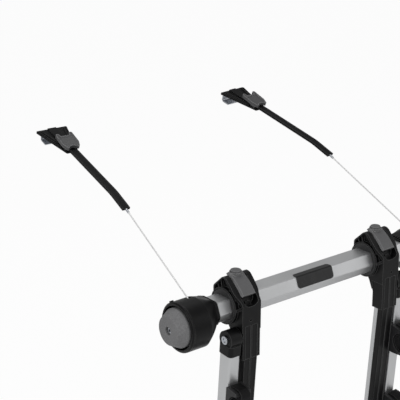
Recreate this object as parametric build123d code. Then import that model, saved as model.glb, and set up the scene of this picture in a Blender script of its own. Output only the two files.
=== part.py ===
from build123d import *
import os
from math import atan2, cos, degrees, hypot, pi, radians, sin, sqrt, tan

os.makedirs("parts", exist_ok=True)

# Millimetres and degrees. X runs along the crossbar, +Y points at the car and +Z up.
# The origin is on the crossbar's axis, half-way along it.
# Every side piece is modelled on the right, at positive X, and mirrored for the left.

# Clearances
fit = 0.1  # round a piece that is pushed or screwed into its seat
running = 0.3  # round a piece that turns or slides
overrun = 2  # how far a cut runs past the face that it opens

# Crossbar, an aluminium extrusion with six rounded edges
bar_top_half = 19.5
bar_side_half = 28.5
bar_foot_half = 22
bar_half_height = 20.5
bar_side_drop = 3
bar_corner = 3.5
bar_wall = 2.5
bar_end = 280

# Plain plate over the crossbar's top front edge
badge_length = 96
badge_back = 5
badge_low = -2
badge_thickness = 1.4
badge_corner = 6

# Toothed collars that lock the brackets' angle
bracket_offset = 190
collar_radius = 34.4
collar_half_length = 30.5
collar_tooth_half_length = 9
collar_tooth_depth = 3.2
collar_tooth_count = 36
collar_tooth_share = 0.5
collar_lip = 1.2

# Hub brackets. The part above the jaw is flared, the face and the leg's socket are narrower
bracket_half = 23
socket_half = 21.5
flange_half = 30
flange_back = 33
flange_front = 47
flange_curve = 20
hub_half = 29.5
hub_wall = 2.7
hub_outer = collar_radius + running + hub_wall
head_back = 30
nape_height = 14
shoulder_height = 35
crown_back = 3
crown_height = 60.5
crown_front = 9
crown_curve = 16
brow_front = 40
brow_height = 27
face_front = 51
chin_height = 16
chin_foot = 9
jaw_front = 36
jaw_height = -3
face_foot = 101
leg_back = 22.5
heel_height = 66
heel_back = 12
heel_rise = 43
head_corner = 9
channel_half = 18.7
channel_back = 13
channel_floor = 9
channel_corner = 15
pocket_wall = 3
pocket_web_half = 2
pocket_side = 20.9
pocket_back = 16
pocket_reach = 42.2
pocket_angle = 136
pocket_rise = 5
rib_thickness = 2.2
rib_angles = (28, 44, 60, 76, 112, 146)
rib_side = 26
front_recess_half = 15
front_recess_depth = 1.2
front_recess_top = 31
front_rib_half = 1.6
screw_hole_radius = 2.2
screw_hole_depth = 8
screw_hole_x = 2
screw_hole_z = -20.5

# Release levers
lever_end_y = 3
lever_end_z = 66.4
lever_middle_y = -22.5
lever_middle_z = 51
lever_foot_y = -43
lever_foot_z = 31
lever_plate = 5.5
lever_side_gap = 1.2
lever_bevel = 2.8
lever_corner = 5
lever_gate_z = 26
lever_pin_y = -1
lever_pin_height = 49
lever_pin_radius = 2
ear_radius = 4.5
ear_inner = 13
ear_outer = 17
ear_top = 60
seat_floor = 61
seat_radius = 10.9
seat_ring = 12.5
seat_ring_low = 59.5
seat_ring_top = 65.5
boss_radius = 9
boss_low = 55.5

# Push buttons in the levers' upper end
button_radius = 10.5
button_y = -1
button_top = 69
button_head = 4.6
button_stem_radius = 5.5
button_stem_foot = 55
button_dish = 0.8
spring_radius = 6.8
spring_seat_radius = 8
spring_floor = 58.5
spring_wire = 0.9
spring_turns = 3
spring_play_share = 0.7

# Lock shoes between lever and collar
shoe_angle = 163
shoe_half_length = 6
shoe_half_height = 4.6
shoe_bite = 1
shoe_reach = collar_radius - shoe_bite
shoe_back = 40.8
shoe_travel = 3.6

# Legs, aluminium with a black cover on the front
leg_half = 18
leg_rear = 25
leg_front = 36
leg_rib_half = 13
leg_rib_front = 46
leg_wall = 2
leg_top = 72
leg_foot = 462
cover_half = 17.2
cover_front = 49.4
cover_foot = 455
leg_radius = 2
leg_lean = 4.4  # towards the car, about the foot of the bracket
lean_back = 35

# Lower crossbar, its clamps and feet
lower_z = -488
lower_y = -31
lower_radius = 16
lower_wall = 1.8
lower_half = 306
clamp_half = 21.5
clamp_ring = 21.5
clamp_top = 436
foot_shift = 3.25
foot_offset = (bracket_offset + clamp_half + lower_half) / 2 + foot_shift
foot_half = 30
foot_ring = 21
foot_pad_back = 48
foot_pad_depth = 16
foot_pad_half_height = 33
foot_rib_count = 5
foot_rib_depth = 2.2
foot_arm_half = 12
cap_thickness = 4
cap_plug = 14

# Bike arms beside the brackets
arm_gap = 1.2
arm_width = 27
arm_depth = 34
arm_corner = 6
arm_wall = 2.2
arm_pivot_y = -34
arm_pivot_z = -54
arm_hub_radius = 18.5
arm_tube_top = 76
arm_sleeve_foot = 86
arm_clearance = 58
arm_foot = -lower_z - arm_clearance
arm_lean = 4.4
arm_sleeve_wall = 2
pivot_radius = 5
pivot_head_radius = 8.5
pivot_head = 3
pivot_start = 172
arm_cap_length = 12

# Cradles on the arms
cradle_first = 148
cradle_pitch = 170
cradle_length = 62
cradle_width = 38
cradle_base = 9
cradle_height = 30
cradle_groove_radius = 19
cradle_rubber = 3
cradle_corner = 5
strap_width = 22
strap_thickness = 2.5
strap_rise = 9

# End housings
rim_start = 252
rim_length = 8
rim_wall = 3.4
barrel_y = -4
barrel_z = -12
barrel_radius = 50
barrel_start = 290
barrel_end = 330
barrel_roundness_share = 0.96
barrel_wall = 9.4
shoulder_share = 0.62
shoulder_place_share = 0.5
ring_end = 336
ring_wall = 6
ring_inner = barrel_radius - ring_wall
ring_floor = 321
ring_bevel = 3
cavity_radius = barrel_radius - barrel_wall
lug_angle = 62
lug_height = 2.6
lug_half = 3

# Knobs, drums and their shaft
knob_start = 330
knob_end = 357
knob_gap = 4.6
knob_bevel = 10.4
knob_back_radius = ring_inner - knob_gap
knob_face_radius = knob_back_radius - knob_bevel
knob_skirt = 7
knob_recess_radius = 8.5
knob_recess_depth = 8
knob_hub_radius = 15
knob_edge = 2.5
shaft_radius = 6
shaft_start = 281
shaft_end = 344
shaft_flange_radius = 10
shaft_flange = 0.8
screw_head_radius = 6
screw_head = 4
drum_start = 291
drum_end = 309.5
drum_flange = 1.8
drum_play = 1
drum_flange_radius = cavity_radius - drum_play
drum_drive_half = 9
drum_drive_end = 318
plate_start = 312.5
plate_end = 317.5

# Cables from the drums to the hooks
cable_radius = 1.5
winding_pitch = 3.6
winding_arc = 290
winding_start = 96  # from the cable's slope, round the drum
cable_x = 300
exit_y = -1.6
exit_share = 0.824
exit_z = barrel_z + exit_share * barrel_radius
sleeve_x = 279.4
sleeve_y = 233.7
sleeve_z = 145.4
bush_radius = 4.2
bush_start = 0.2
bush_end = 3.4
pocket_radius = 6.2
pocket_start = 2.6
pocket_below = 2.4

# Hooks over the edge of the tailgate, in their own upright plane, measured from the cable's exit
sleeve_mid_run = 285
sleeve_mid_z = 165
sleeve_end_run = 466
sleeve_end_z = 213.5
sleeve_width = 17
sleeve_thickness = 4.4
sleeve_rim = 2.4
sleeve_rim_rise = 1.2
sleeve_bend = 150
plate_run = 456
plate_length = 98
plate_thickness = 4
plate_near_half = 13
plate_far_half = 37
lip_drop = 22
lip_return = 20
lip_thickness = 2.5
lip_bend = 5
lip_half = 20
ridge_width = 2.6
ridge_rise = 2.4
ridge_inset = 5.5
strap_band_half = 10
strap_band_rise = 3
clip_start = -3
clip_foot = 10
clip_foot_length = 14
clip_foot_width = 4.5
clip_length = 50
clip_near_half = 14
clip_bay = 6
clip_half = 19.5
clip_shoulder_share = 0.3
clip_notch_share = 0.82
clip_prong = 8
clip_thickness = 5
clip_slope = 21.5
clip_rim = 1.8
clip_rim_rise = 2.4
clip_tip_share = 0.9


def rounded(points, radius):
    """A closed outline through the points, with its corners rounded."""
    return make_face(FilletPolyline(*points, radius=radius, close=True).edges())


def across(outline, start, end):
    """Stretch an outline of the Y-Z plane along X."""
    return extrude(Plane.YZ.offset(start) * outline, amount=end - start)


def rod_across(y, z, radius, start, end):
    return across(Pos(y, z) * Circle(radius), start, end)


def turned(points, y, z):
    """Turn an outline of distance along X and radius about an axis that runs along X."""
    return Pos(0, y, z) * revolve(make_face(Polyline(*points, close=True).edges()), Axis.X)


def block(x0, x1, y0, y1, z0, z1):
    return Pos((x0 + x1) / 2, (y0 + y1) / 2, (z0 + z1) / 2) * Box(abs(x1 - x0), abs(y1 - y0), abs(z1 - z0))


def plan(outline, low, high):
    """Stretch an outline of the X-Y plane along Z."""
    return extrude(Plane.XY.offset(low) * outline, amount=high - low)


def bore(y, z, radius, start, end):
    """A cutter along X that runs past both faces."""
    return rod_across(y, z, radius, start - overrun, end + overrun)


def facing(outline, back, front):
    """Stretch an outline of the X-Z plane along Y, from the back to the front."""
    return extrude(Plane.XZ.offset(-back) * outline, amount=back - front)


def turn_point(y, z, about_y, about_z, angle):
    """A point of the Y-Z plane, turned about another."""
    run, rise = y - about_y, z - about_z
    c, s = cos(radians(angle)), sin(radians(angle))
    return about_y + run * c - rise * s, about_z + run * s + rise * c


def leaned(shape):
    """Lean a piece of the legs towards the car, about the foot of the bracket."""
    return Pos(0, -lean_back, -face_foot) * Rot(leg_lean, 0, 0) * Pos(0, lean_back, face_foot) * shape


def hung(shape):
    """Lean a piece of the arms like the legs, about the arms' own pivot."""
    return Pos(0, arm_pivot_y, arm_pivot_z) * Rot(arm_lean, 0, 0) * Pos(0, -arm_pivot_y, -arm_pivot_z) * shape


def six_sided(y, z, top_half, side_half, foot_half, half_height, side_drop, corner):
    """The crossbar's six-sided outline, or one that is nearly a circle."""
    points = [
        (y + top_half, z + half_height),
        (y - top_half, z + half_height),
        (y - side_half, z - side_drop),
        (y - foot_half, z - half_height),
        (y + foot_half, z - half_height),
        (y + side_half, z - side_drop),
    ]
    return rounded(points, corner)


def bar_outline(grow=0):
    outline = six_sided(
        0, 0, bar_top_half, bar_side_half, bar_foot_half, bar_half_height, bar_side_drop, bar_corner
    )
    if grow == 0:
        return outline
    return offset(outline, amount=grow)


def write(name, *solids):
    shape = solids[0] if len(solids) == 1 else Compound(children=list(solids))
    export_step(shape, f"parts/{name}.step")


def write_pair(name, right):
    """The right piece as modelled, and its mirror image on the left."""
    write(f"{name}_right", right)
    write(f"{name}_left", mirror(right, about=Plane.YZ))


# Crossbar
def crossbar():
    return across(bar_outline() - bar_outline(-bar_wall), -bar_end, bar_end)


def badge():
    """Thin plate bent over the crossbar's top front edge, with rounded corners."""
    drop = (bar_half_height - badge_low) / (bar_half_height + bar_side_drop)
    low_y = -bar_top_half - drop * (bar_side_half - bar_top_half)
    high = (bar_half_height - badge_back) / sqrt(2)
    low = (low_y + badge_low) / sqrt(2)
    outline = Pos(0, (high + low) / 2) * RectangleRounded(badge_length, high - low, badge_corner)
    view = extrude(
        Plane(origin=(0, 0, 0), x_dir=(1, 0, 0), z_dir=(0, -1, 1)) * outline, amount=2 * bar_side_half
    )
    return across(bar_outline(badge_thickness) - bar_outline(), -badge_length, badge_length) & view


def collar():
    """Ring with a toothed band in its middle, fixed on the crossbar."""
    bore = bar_outline(fit)
    start = bracket_offset - collar_half_length
    end = bracket_offset + collar_half_length
    ring = across(Circle(collar_radius) - bore, start, end)
    pitch = 2 * pi * collar_radius / collar_tooth_count
    notch_half = pitch * collar_tooth_share / 2
    notch = Pos(collar_radius - collar_tooth_depth / 2 + fit, 0) * Rectangle(
        collar_tooth_depth + 2 * fit, 2 * notch_half
    )
    notches = [
        Rot(0, 0, i * 360 / collar_tooth_count + shoe_angle) * notch for i in range(collar_tooth_count)
    ]
    cut = across(
        Sketch() + notches,
        bracket_offset - collar_tooth_half_length,
        bracket_offset + collar_tooth_half_length,
    )
    lip = chamfer(ring.edges().filter_by(GeomType.CIRCLE).group_by(Axis.X)[-1], collar_lip)
    return lip - cut


# Hub brackets
def head_outline():
    """Side view of the bracket: hub, crown, sloping brow, upright face and leg socket."""
    corner = head_corner
    head = rounded(
        [
            (head_back, nape_height),
            (head_back, shoulder_height),
            (crown_back, crown_height),
            (-crown_front, crown_height),
            (-brow_front, brow_height),
            (-face_front, chin_height),
            (-face_front, -face_foot),
            (-leg_back, -face_foot),
            (-leg_back, -heel_height),
            (-heel_back, -heel_rise),
            (hub_outer / 2, 0),
        ],
        [pocket_wall, corner, corner, crown_curve, corner, corner, fit, fit, corner, pocket_wall, 0],
    )
    return head + Circle(hub_outer)


def flange_zone():
    """Everything above the jaw line, in the side view."""
    reach = 2 * crown_height
    points = [
        (reach, jaw_height),
        (-jaw_front, jaw_height),
        (-face_front - overrun, chin_foot),
        (-face_front - overrun, reach),
        (reach, reach),
    ]
    return make_face(Polyline(*points, close=True).edges())


def flange():
    """The flared upper part: its sides curve inwards to the narrower face."""
    reach = 2 * crown_height
    body = across(
        head_outline() & flange_zone(), bracket_offset - flange_half, bracket_offset + flange_half
    )
    side = [
        (flange_half, reach),
        (flange_half, -flange_back),
        (bracket_half, -flange_front),
        (bracket_half, -reach),
    ]
    points = side + [(-x, y) for x, y in reversed(side)]
    radii = [0, flange_curve, flange_curve, 0]
    outline = Pos(bracket_offset, 0) * rounded(points, radii + radii)
    return body & plan(outline, jaw_height - overrun, crown_height + overrun)


def pocket_outline():
    """Space between the hub, the thin wall behind the crown and the broad rim of the brow."""
    reach = 4 * crown_height
    outline = offset(head_outline(), amount=-pocket_wall) - Circle(hub_outer)
    outline &= Pos(0, pocket_rise) * flange_zone()
    outline &= Rot(0, 0, pocket_angle) * Pos(pocket_reach - reach / 2, 0) * Rectangle(reach, reach)
    return outline


def front_recess(half, front, high, low):
    """Shallow recess down a front face, on both sides of a raised rib."""
    middle = (high + low) / 2
    panels = Pos(0, middle) * (Rectangle(2 * half, high - low) - Rectangle(2 * front_rib_half, high - low))
    return facing(Pos(bracket_offset, 0) * panels, -front + front_recess_depth, -front - overrun)


def bracket():
    start = bracket_offset - bracket_half
    end = bracket_offset + bracket_half
    body = across(head_outline(), start, end) + flange()
    body += rod_across(0, 0, hub_outer, bracket_offset - hub_half, bracket_offset + hub_half)
    body -= bore(0, 0, collar_radius + running, bracket_offset - hub_half, bracket_offset + hub_half)
    # The socket is a little slimmer than the head
    for side in (start - overrun, bracket_offset + socket_half):
        width = bracket_half - socket_half + overrun
        body -= block(
            side, side + width, -face_front - overrun, -leg_back + overrun, -face_foot - overrun, -heel_rise
        )
    # Channel between the cheeks, for the lever and the lock shoe
    top = crown_height + overrun
    middle_y = (channel_back - face_front - overrun) / 2
    channel = Pos(middle_y, (top + channel_floor) / 2) * Rectangle(
        channel_back + face_front + overrun, top - channel_floor
    )
    gate = Pos(bracket_offset, channel_floor + crown_height) * RectangleRounded(
        2 * channel_half, 2 * crown_height, channel_corner
    )
    body -= across(channel - Circle(hub_outer), start, end) & facing(
        gate, channel_back + overrun, -face_front - 2 * overrun
    )
    # Ribbed pockets from both sides: shallow in the cheeks, deep behind the channel
    pocket = pocket_outline()
    shallow = pocket
    for angle in rib_angles:
        shallow -= Rot(0, 0, angle) * Pos(crown_height, 0) * Rectangle(2 * crown_height, rib_thickness)
    deep = shallow & Pos(pocket_back + crown_height, 0) * Rectangle(2 * crown_height, 4 * crown_height)
    for side in (-1, 1):
        edge = bracket_offset + side * (flange_half + overrun)
        for outline, inner in ((pocket, rib_side), (shallow, pocket_side), (deep, pocket_web_half)):
            low, high = sorted((edge, bracket_offset + side * inner))
            body -= across(outline, low, high)
    # Slot for the lock shoe
    slot_back = shoe_back + shoe_travel
    slot = Pos((slot_back + shoe_reach) / 2, 0) * Rectangle(
        slot_back - shoe_reach, 2 * (shoe_half_height + running)
    )
    half = shoe_half_length + running
    body -= across(Rot(0, 0, shoe_angle) * slot, bracket_offset - half, bracket_offset + half)
    # Socket for the leg
    body -= leaned(plan(leg_outline(running / 2), -face_foot - 2 * overrun, -leg_top))
    # Recess and screw hole in the front face
    body -= front_recess(front_recess_half, face_front, -front_recess_top, -face_foot - overrun)
    hole = Pos(bracket_offset + screw_hole_x, screw_hole_z) * Circle(screw_hole_radius)
    body -= facing(hole, -face_front + screw_hole_depth, -face_front - overrun)
    # Holes for the lever's pin and the arm's pivot bolt
    body -= rod_across(
        lever_pin_y,
        lever_pin_height,
        lever_pin_radius + fit,
        bracket_offset - pocket_side,
        bracket_offset + pocket_side,
    )
    body -= rod_across(arm_pivot_y, arm_pivot_z, pivot_radius + fit, pivot_start, end + overrun)
    return body


# Release lever
def lever():
    """Plate that arches from the crown to the face, with two ears on its pin and a seat for the button."""
    top = [(lever_end_y, lever_end_z), (lever_middle_y, lever_middle_z), (lever_foot_y, lever_foot_z)]
    slope = atan2(lever_end_z - lever_foot_z, lever_end_y - lever_foot_y)
    under = [(y + lever_plate * sin(slope), z - lever_plate * cos(slope)) for y, z in top]
    sides = [
        ThreePointArc(*top),
        Line(top[-1], under[-1]),
        ThreePointArc(*under[::-1]),
        Line(under[0], top[0]),
    ]
    half = channel_half - lever_side_gap
    body = across(make_face(sides), bracket_offset - half, bracket_offset + half)
    body = chamfer(body.edges().filter_by(GeomType.CIRCLE).sort_by(Axis.Z)[-2:], lever_bevel)
    front = Pos(bracket_offset, lever_gate_z + crown_height) * RectangleRounded(
        2 * half, 2 * crown_height, lever_corner
    )
    body &= facing(front, crown_height, -2 * crown_height)
    # Round end that carries the button, and the ears
    seat = Pos(bracket_offset, button_y)
    body += plan(seat * Circle(seat_ring), seat_ring_low, seat_ring_top) + plan(
        seat * Circle(boss_radius), boss_low, seat_floor
    )
    ear = Pos(lever_pin_y, lever_pin_height) * Circle(ear_radius)
    ear += Pos(lever_pin_y, (lever_pin_height + ear_top) / 2) * Rectangle(
        2 * ear_radius, ear_top - lever_pin_height
    )
    for side in (-1, 1):
        low, high = sorted((bracket_offset + side * ear_inner, bracket_offset + side * ear_outer))
        body += across(ear, low, high)
    body -= plan(seat * Circle(seat_radius), seat_floor, button_top + overrun)
    body -= plan(seat * Circle(spring_seat_radius), spring_floor, seat_floor + overrun)
    body -= plan(seat * Circle(button_stem_radius + running), boss_low - overrun, spring_floor + overrun)
    return body - rod_across(
        lever_pin_y, lever_pin_height, lever_pin_radius + fit, bracket_offset - half, bracket_offset + half
    )


def lever_pin():
    half = pocket_side - fit
    return rod_across(
        lever_pin_y, lever_pin_height, lever_pin_radius, bracket_offset - half, bracket_offset + half
    )


# Push button
def button():
    head = Pos(0, 0, button_top - button_head) * extrude(Circle(button_radius), amount=button_head)
    head = fillet(head.edges().group_by(Axis.Z)[-1], button_dish)
    stem = Pos(0, 0, button_stem_foot) * extrude(
        Circle(button_stem_radius), amount=button_top - button_head - button_stem_foot
    )
    return Pos(bracket_offset, button_y) * (head + stem)


def button_spring():
    """Coil round the stem, between its seat in the lever and the button's head."""
    low = spring_floor + spring_wire * spring_play_share
    high = button_top - button_head - spring_wire * spring_play_share
    path = Helix(pitch=(high - low) / spring_turns, height=high - low, radius=spring_radius)
    section = Plane(origin=path @ 0, z_dir=path % 0) * Circle(spring_wire / 2)
    return Pos(bracket_offset, button_y, low) * sweep(section, path=path, is_frenet=True)


# Lock shoe
def shoe():
    """Block that bears on the collar's teeth, with a face of the collar's radius."""
    middle = (shoe_reach + shoe_back) / 2
    outline = Pos(middle, 0) * Rectangle(shoe_back - shoe_reach, 2 * shoe_half_height)
    outline -= Circle(collar_radius + running)
    return across(
        Rot(0, 0, shoe_angle) * outline,
        bracket_offset - shoe_half_length,
        bracket_offset + shoe_half_length,
    )


# Legs
def leg_outline(grow=0):
    """Plan of the leg: a flat tube with a narrower rib on its front."""
    wide = leg_half + grow
    narrow = leg_rib_half + grow
    back = grow - leg_rear
    step = -leg_front - grow
    front = -leg_rib_front - grow
    points = [
        (-wide, back),
        (wide, back),
        (wide, step),
        (narrow, step),
        (narrow, front),
        (-narrow, front),
        (-narrow, step),
        (-wide, step),
    ]
    outer = leg_radius
    return Pos(bracket_offset, 0) * rounded(points, [outer, outer, outer, 0, outer, outer, 0, outer])


def leg():
    return plan(leg_outline() - leg_outline(-leg_wall), -leg_foot, -leg_top)


def leg_cover():
    """Black channel over the leg's front rib, with a shallow recess down its face."""
    start = -face_foot - running
    outer = Pos(bracket_offset, -(leg_front + fit + cover_front) / 2) * Rectangle(
        2 * cover_half, cover_front - leg_front - fit
    )
    outer = fillet(outer.vertices().group_by(Axis.Y)[0], leg_radius)
    inner = Pos(bracket_offset, -(leg_front + leg_rib_front) / 2) * Rectangle(
        2 * (leg_rib_half + fit), leg_rib_front - leg_front + 2 * fit
    )
    return plan(outer - inner, -cover_foot, start) - front_recess(
        front_recess_half, cover_front, start + overrun, -cover_foot - overrun
    )


# Lower crossbar
bar_y, bar_z = turn_point(lower_y, lower_z, -lean_back, -face_foot, leg_lean)


def lower_bar():
    ring = Circle(lower_radius) - Circle(lower_radius - lower_wall)
    return across(Pos(bar_y, bar_z) * ring, -lower_half, lower_half)


def lower_caps():
    plug = turned(
        [
            (lower_half - cap_plug, 0),
            (lower_half - cap_plug, lower_radius - lower_wall - fit),
            (lower_half, lower_radius - lower_wall - fit),
            (lower_half, lower_radius),
            (lower_half + cap_thickness / 2, lower_radius),
            (lower_half + cap_thickness, lower_radius - cap_thickness / 2),
            (lower_half + cap_thickness, 0),
        ],
        bar_y,
        bar_z,
    )
    return plug, mirror(plug, about=Plane.YZ)


def clamp():
    """Moulded piece that joins a leg to the lower crossbar."""
    ring = Pos(lower_y, lower_z) * Circle(clamp_ring)
    post = rounded(
        [
            (-leg_back, -clamp_top),
            (-face_front, -clamp_top),
            (-face_front, lower_z),
            (lower_y - clamp_ring + fit, lower_z - clamp_ring / 2),
            (lower_y + clamp_ring / 2, lower_z),
            (-leg_back, lower_z + clamp_ring),
        ],
        [leg_radius, leg_radius, head_corner, leg_radius, 0, head_corner],
    )
    body = across(ring + post, bracket_offset - clamp_half, bracket_offset + clamp_half)
    body -= bore(
        lower_y, lower_z, lower_radius + fit, bracket_offset - clamp_half, bracket_offset + clamp_half
    )
    body -= plan(leg_outline(fit), -leg_foot - fit, -clamp_top + overrun)
    cover = Pos(bracket_offset, -(leg_front + cover_front) / 2) * Rectangle(
        2 * (cover_half + fit), cover_front - leg_front + 2 * fit
    )
    return body - plan(cover, -cover_foot - fit, -clamp_top + overrun)


def foot():
    """Holder that swivels on the lower crossbar and carries the rubber pad."""
    pad_y = bar_y + foot_pad_back - foot_pad_depth
    arm = rounded(
        [
            (bar_y, bar_z + foot_ring),
            (pad_y, bar_z + foot_pad_half_height - head_corner / 2),
            (pad_y, bar_z - foot_pad_half_height + head_corner / 2),
            (bar_y, bar_z - foot_ring),
        ],
        [0, leg_radius, leg_radius, 0],
    )
    body = across(
        arm + Pos(bar_y, bar_z) * Circle(foot_ring),
        foot_offset - foot_half + foot_arm_half,
        foot_offset + foot_half - foot_arm_half,
    )
    flange = block(
        foot_offset - foot_half + leg_radius,
        foot_offset + foot_half - leg_radius,
        pad_y - leg_radius,
        pad_y,
        bar_z - foot_pad_half_height + leg_radius,
        bar_z + foot_pad_half_height - leg_radius,
    )
    body += flange
    return body - bore(
        bar_y, bar_z, lower_radius + running, foot_offset - foot_half, foot_offset + foot_half
    )


def foot_pad():
    """Rubber pad with grooves across its face."""
    pad_y = bar_y + foot_pad_back - foot_pad_depth
    outline = Pos(foot_offset, bar_z) * RectangleRounded(
        2 * foot_half, 2 * foot_pad_half_height, head_corner
    )
    body = extrude(Plane.XZ.offset(-pad_y) * outline, amount=-foot_pad_depth)
    body = fillet(body.edges().group_by(Axis.Y)[-1], 2 * leg_radius)
    pitch = 2 * (foot_pad_half_height - head_corner) / (foot_rib_count - 1)
    for i in range(foot_rib_count):
        z = bar_z - foot_pad_half_height + head_corner + i * pitch
        body -= block(
            foot_offset - foot_half - overrun,
            foot_offset + foot_half + overrun,
            pad_y + foot_pad_depth - foot_rib_depth,
            pad_y + foot_pad_depth + overrun,
            z - rib_thickness / 2,
            z + rib_thickness / 2,
        )
    return body


# Bike arms
arm_start = bracket_offset + socket_half + arm_gap + bracket_half - socket_half
arm_middle = arm_start + arm_width / 2


def arm_section(grow=0):
    return Pos(arm_middle, arm_pivot_y) * RectangleRounded(
        arm_width + 2 * grow, arm_depth + 2 * grow, arm_corner + grow
    )


def arm_tube():
    return plan(arm_section() - arm_section(-arm_wall), -arm_foot, -arm_tube_top)


def arm_hub():
    """Round pivot boss with a sleeve that holds the arm's end."""
    end = arm_start + arm_width
    body = rod_across(arm_pivot_y, arm_pivot_z, arm_hub_radius, arm_start, end)
    neck = arm_pivot_z - pivot_head_radius - overrun
    sleeve = plan(arm_section(arm_sleeve_wall), -arm_sleeve_foot, neck)
    sleeve &= block(
        arm_start - arm_gap / 2, end + arm_sleeve_wall, -face_front - arm_width, 0, -arm_sleeve_foot, neck
    )
    body += sleeve
    body -= plan(arm_section(fit), -arm_sleeve_foot - overrun, -arm_tube_top + fit)
    return body - bore(arm_pivot_y, arm_pivot_z, pivot_radius + 2 * fit, arm_start, end)


def arm_cap():
    end = plan(arm_section(), -arm_foot - arm_cap_length / 3, -arm_foot)
    end = fillet(end.edges().group_by(Axis.Z)[0], arm_wall / 2)
    return end + plan(arm_section(-arm_wall - fit), -arm_foot, -arm_foot + arm_cap_length)


def pivot_bolt():
    end = arm_start + arm_width
    bolt = rod_across(arm_pivot_y, arm_pivot_z, pivot_radius, pivot_start, end + running)
    head = rod_across(
        arm_pivot_y, arm_pivot_z, pivot_head_radius, end + running, end + running + pivot_head
    )
    socket = across(
        Pos(arm_pivot_y, arm_pivot_z) * RegularPolygon(pivot_radius, 6),
        end + pivot_head / 2,
        end + pivot_head + overrun,
    )
    return bolt + head - socket


# Cradles
def cradle(top):
    """Saddle with a round groove along X that opens away from the arm."""
    face = -(arm_depth / 2 - arm_pivot_y)
    middle_z = -top - cradle_length / 2
    outline = rounded(
        [
            (face, -top),
            (face - cradle_base, -top),
            (face - cradle_height, -top - cradle_corner / 2),
            (face - cradle_height, -top - cradle_length + cradle_corner / 2),
            (face - cradle_base, -top - cradle_length),
            (face, -top - cradle_length),
        ],
        [0, cradle_corner / 2, cradle_corner, cradle_corner, cradle_corner / 2, 0],
    )
    groove = Pos(face - cradle_height, middle_z) * Circle(cradle_groove_radius + cradle_rubber)
    return across(outline - groove, arm_middle - cradle_width / 2, arm_middle + cradle_width / 2)


def cradle_liner(top):
    """Rubber half-round between the saddle and the bicycle."""
    face = -(arm_depth / 2 - arm_pivot_y)
    middle_z = -top - cradle_length / 2
    ring = Circle(cradle_groove_radius + cradle_rubber - fit) - Circle(cradle_groove_radius)
    half = Pos(cradle_groove_radius, 0) * Rectangle(2 * cradle_groove_radius, 4 * cradle_groove_radius)
    return across(
        Pos(face - cradle_height, middle_z) * (ring & half),
        arm_middle - cradle_width / 2 + leg_radius,
        arm_middle + cradle_width / 2 - leg_radius,
    )


def cradle_strap(top):
    """Rubber strap over the groove's mouth, hooked on both edges of the saddle."""
    face = -(arm_depth / 2 - arm_pivot_y)
    front = face - cradle_height
    high = -top - running + strap_thickness + running
    low = -top - cradle_length - strap_thickness
    outer = rounded(
        [
            (face - cradle_base / 2, high + running),
            (front - strap_rise, high + running),
            (front - strap_rise, low - running),
            (face - cradle_base / 2, low - running),
        ],
        [0, 3 * cradle_corner, 3 * cradle_corner, 0],
    )
    inner = rounded(
        [
            (face, high + running - strap_thickness),
            (front - strap_rise + strap_thickness, high + running - strap_thickness),
            (front - strap_rise + strap_thickness, low - running + strap_thickness),
            (face, low - running + strap_thickness),
        ],
        [0, 3 * cradle_corner - strap_thickness, 3 * cradle_corner - strap_thickness, 0],
    )
    return across(outer - inner, arm_middle - strap_width / 2, arm_middle + strap_width / 2)


# End housing
def round_section(y, z, radius):
    """Six-sided outline whose corners are so round that it is nearly a circle."""
    return six_sided(
        y,
        z,
        radius * tan(pi / 6),
        radius / cos(pi / 6),
        radius * tan(pi / 6),
        radius,
        0,
        radius * barrel_roundness_share,
    )


def rim_section(grow):
    return six_sided(
        0,
        0,
        bar_top_half + grow / 2,
        bar_side_half + grow,
        bar_foot_half + grow / 2,
        bar_half_height + grow,
        bar_side_drop,
        bar_corner + grow,
    )


def shoulder_section():
    """Between the rim and the barrel."""
    s = shoulder_share
    radius = barrel_radius
    mix = lambda rim, barrel: rim + s * (barrel - rim)
    return six_sided(
        mix(0, barrel_y),
        mix(0, barrel_z),
        mix(bar_top_half + rim_wall / 2, radius * tan(pi / 6)),
        mix(bar_side_half + rim_wall, radius / cos(pi / 6)),
        mix(bar_foot_half + rim_wall / 2, radius * tan(pi / 6)),
        mix(bar_half_height + rim_wall, radius),
        mix(bar_side_drop, 0),
        mix(bar_corner + rim_wall, radius * barrel_roundness_share),
    )


def cable_direction():
    dx, dy, dz = sleeve_x - cable_x, sleeve_y - exit_y, sleeve_z - exit_z
    length = sqrt(dx * dx + dy * dy + dz * dz)
    return Vector(dx / length, dy / length, dz / length), length


def cable_drum_radius():
    """Distance of the cable's line from the drum's axis."""
    run, rise = sleeve_y - exit_y, sleeve_z - exit_z
    flat = hypot(run, rise)
    return abs((exit_y - barrel_y) * rise - (exit_z - barrel_z) * run) / flat


def tangent_distance():
    """How far behind the exit the cable touches the drum."""
    reach = hypot(exit_y - barrel_y, exit_z - barrel_z)
    direction, _ = cable_direction()
    return sqrt(reach * reach - cable_drum_radius() ** 2) / hypot(direction.Y, direction.Z)


def cable_angle():
    """The cable's slope. It touches the drum a quarter turn further round, seen from +Y about X."""
    return degrees(atan2(sleeve_z - exit_z, sleeve_y - exit_y))


def along_cable(start, end, radius):
    """Round bar along the cable's line, measured from the exit."""
    direction, _ = cable_direction()
    origin = Vector(cable_x, exit_y, exit_z) + direction * start
    return extrude(Plane(origin=origin, z_dir=direction) * Circle(radius), amount=end - start)


def beneath_cable(distance):
    """Everything that lies more than a distance under the cable."""
    direction, length = cable_direction()
    side = Vector(cable_x, exit_y, exit_z) + direction * (length / 2)
    base = Plane(origin=side, x_dir=direction, z_dir=direction.cross(Vector(0, 0, 1)).cross(direction))
    return extrude(base.offset(-distance) * Rectangle(2 * length, length), amount=-length)


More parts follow.
